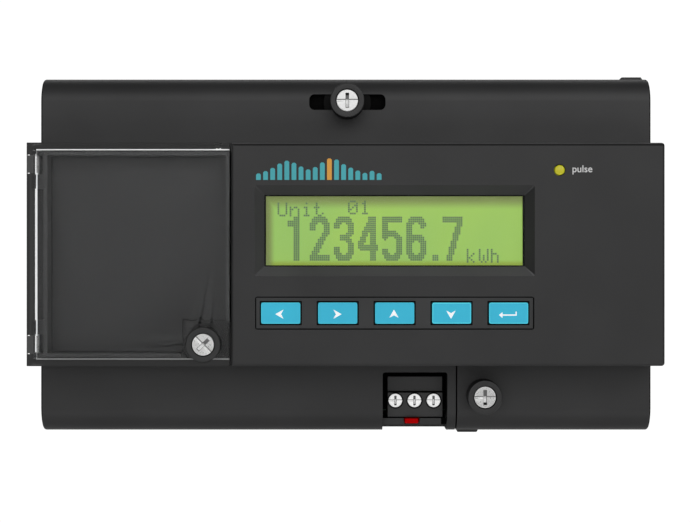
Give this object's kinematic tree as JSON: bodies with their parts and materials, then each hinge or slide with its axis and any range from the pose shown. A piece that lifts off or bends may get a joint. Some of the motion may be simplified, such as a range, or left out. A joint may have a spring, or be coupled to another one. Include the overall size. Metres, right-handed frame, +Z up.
{
  "type": "smart electric meter",
  "caption": "Rail-mounted electricity meter with a display, function keys, a clear-covered module bay and removable terminal covers.",
  "frame": {"origin": "middle of the seat that rests on the rail's front flanges, at half width and half height", "axes": "+Z up, +X to the right seen from the front, +Y towards the wall; the face looks along -Y"},
  "size_m": [0.2204, 0.0648, 0.1295],
  "materials": {
    "charcoal_shell": "fine matte moulded plastic",
    "charcoal_dark": "dark matte moulded plastic",
    "clear_plastic": "clear polycarbonate",
    "display_clear": "clear acrylic",
    "lcd_green": "yellow-green reflective display",
    "foam": "black foam",
    "tin": "tinned steel",
    "board_green": "solder mask",
    "black_plastic": "black moulded plastic",
    "key_blue": "satin blue",
    "lens_yellow": "tinted lens",
    "bright_steel": "bright zinc plate",
    "brass": "machined",
    "winding": "varnished winding",
    "capacitor_sleeve": "shrink sleeve",
    "terminal_green": "moulded terminal plastic",
    "tab_red": "red moulded plastic",
    "latch_grey": "glass-filled nylon"
  },
  "bodies": {
    "meter": {"rear_housing": "charcoal_shell", "front_housing": "charcoal_shell", "lower_skirt": "charcoal_shell", "bay_panel": "charcoal_dark", "display_window": "display_clear", "display_gasket": "foam", "lcd_glass": "lcd_green", "lcd_backlight": "lcd_green", "lcd_frame": "tin", "display_board": "board_green", "key_switches": "black_plastic", "display_screws": "bright_steel", "pulse_lens": "lens_yellow", "pulse_led": "display_clear", "main_board": "board_green", "board_header": "black_plastic", "metering_chips": "black_plastic", "power_transformer": "winding", "filter_capacitors": "capacitor_sleeve", "relay": "key_blue", "backup_battery": "bright_steel", "current_sensors": "winding", "current_block_left": "terminal_green", "current_block_right": "terminal_green", "voltage_block": "terminal_green", "terminal_screws": "bright_steel", "terminal_cages": "brass", "comm_header": "black_plastic", "board_screws": "bright_steel", "housing_screws": "bright_steel", "threaded_inserts": "brass", "hinge_pins": "bright_steel", "latch_spring_left": "bright_steel", "latch_spring_right": "bright_steel"},
    "latch_left": {"din_latch_left": "latch_grey"},
    "latch_right": {"din_latch_right": "latch_grey"},
    "bay_cover": {"clear_cover": "clear_plastic", "bay_screw_collar": "charcoal_dark"},
    "bay_cover_screw": {"bay_screw": "bright_steel"},
    "terminal_cover_top": {"top_cover": "charcoal_shell", "top_screw_collar": "charcoal_dark"},
    "top_cover_screw": {"top_screw": "bright_steel"},
    "terminal_cover_lower": {"lower_cover": "charcoal_shell", "lower_screw_collar": "charcoal_dark"},
    "lower_cover_screw": {"lower_screw": "bright_steel"},
    "left_key": {"key_left": "key_blue"},
    "right_key": {"key_right": "key_blue"},
    "up_key": {"key_up": "key_blue"},
    "down_key": {"key_down": "key_blue"},
    "enter_key": {"key_enter": "key_blue"},
    "plug": {"comm_plug": "black_plastic", "plug_cages": "brass"},
    "clamp_screw_1": {"plug_screw_1": "bright_steel"},
    "clamp_screw_2": {"plug_screw_2": "bright_steel"},
    "clamp_screw_3": {"plug_screw_3": "bright_steel"},
    "tab": {"release_tab": "tab_red"}
  },
  "joints": [
    {"name": "latch_left_pull", "type": "slide", "parent": "meter", "child": "latch_left", "axis": [0, 0, -1], "range_m": [0, 0.005], "stiffness_N_per_m": 1200, "deforming": ["latch_spring_left"]},
    {"name": "latch_right_pull", "type": "slide", "parent": "meter", "child": "latch_right", "axis": [0, 0, -1], "range_m": [0, 0.005], "stiffness_N_per_m": 1200, "deforming": ["latch_spring_right"]},
    {"name": "bay_cover_hinge", "type": "hinge", "parent": "meter", "child": "bay_cover", "pos_m": [-0.1078, -0.0485, 0], "axis": [0, 0, -1], "range_deg": [0, 110]},
    {"name": "bay_screw_turn", "type": "hinge", "parent": "bay_cover", "child": "bay_cover_screw", "pos_m": [-0.0493, -0.057, -0.0312], "axis": [0, -1, 0], "continuous": true},
    {"name": "top_cover_lift_off", "type": "slide", "parent": "meter", "child": "terminal_cover_top", "axis": [0, -1, 0], "range_m": [0, 0.03]},
    {"name": "top_screw_turn", "type": "hinge", "parent": "terminal_cover_top", "child": "top_cover_screw", "pos_m": [0.0005, -0.048, 0.054], "axis": [0, -1, 0], "continuous": true},
    {"name": "lower_cover_lift_off", "type": "slide", "parent": "meter", "child": "terminal_cover_lower", "axis": [0, -1, 0], "range_m": [0, 0.03]},
    {"name": "lower_screw_turn", "type": "hinge", "parent": "terminal_cover_lower", "child": "lower_cover_screw", "pos_m": [0.0488, -0.048, -0.0501], "axis": [0, -1, 0], "continuous": true},
    {"name": "left_key_press", "type": "slide", "parent": "meter", "child": "left_key", "axis": [0, 1, 0], "range_m": [0, 0.001], "stiffness_N_per_m": 1500},
    {"name": "right_key_press", "type": "slide", "parent": "meter", "child": "right_key", "axis": [0, 1, 0], "range_m": [0, 0.001], "stiffness_N_per_m": 1500},
    {"name": "up_key_press", "type": "slide", "parent": "meter", "child": "up_key", "axis": [0, 1, 0], "range_m": [0, 0.001], "stiffness_N_per_m": 1500},
    {"name": "down_key_press", "type": "slide", "parent": "meter", "child": "down_key", "axis": [0, 1, 0], "range_m": [0, 0.001], "stiffness_N_per_m": 1500},
    {"name": "enter_key_press", "type": "slide", "parent": "meter", "child": "enter_key", "axis": [0, 1, 0], "range_m": [0, 0.001], "stiffness_N_per_m": 1500},
    {"name": "plug_pull_off", "type": "slide", "parent": "meter", "child": "plug", "axis": [0, -1, 0], "range_m": [0, 0.02]},
    {"name": "clamp_screw_1_turn", "type": "hinge", "parent": "plug", "child": "clamp_screw_1", "pos_m": [0.0178, -0.032, -0.0524], "axis": [0, -1, 0], "continuous": true},
    {"name": "clamp_screw_2_turn", "type": "hinge", "parent": "plug", "child": "clamp_screw_2", "pos_m": [0.02465, -0.032, -0.0524], "axis": [0, -1, 0], "continuous": true},
    {"name": "clamp_screw_3_turn", "type": "hinge", "parent": "plug", "child": "clamp_screw_3", "pos_m": [0.0315, -0.032, -0.0524], "axis": [0, -1, 0], "continuous": true},
    {"name": "release_tab_press", "type": "slide", "parent": "meter", "child": "tab", "axis": [0, 1, 0], "range_m": [0, 0.0012], "stiffness_N_per_m": 1200}
  ]
}
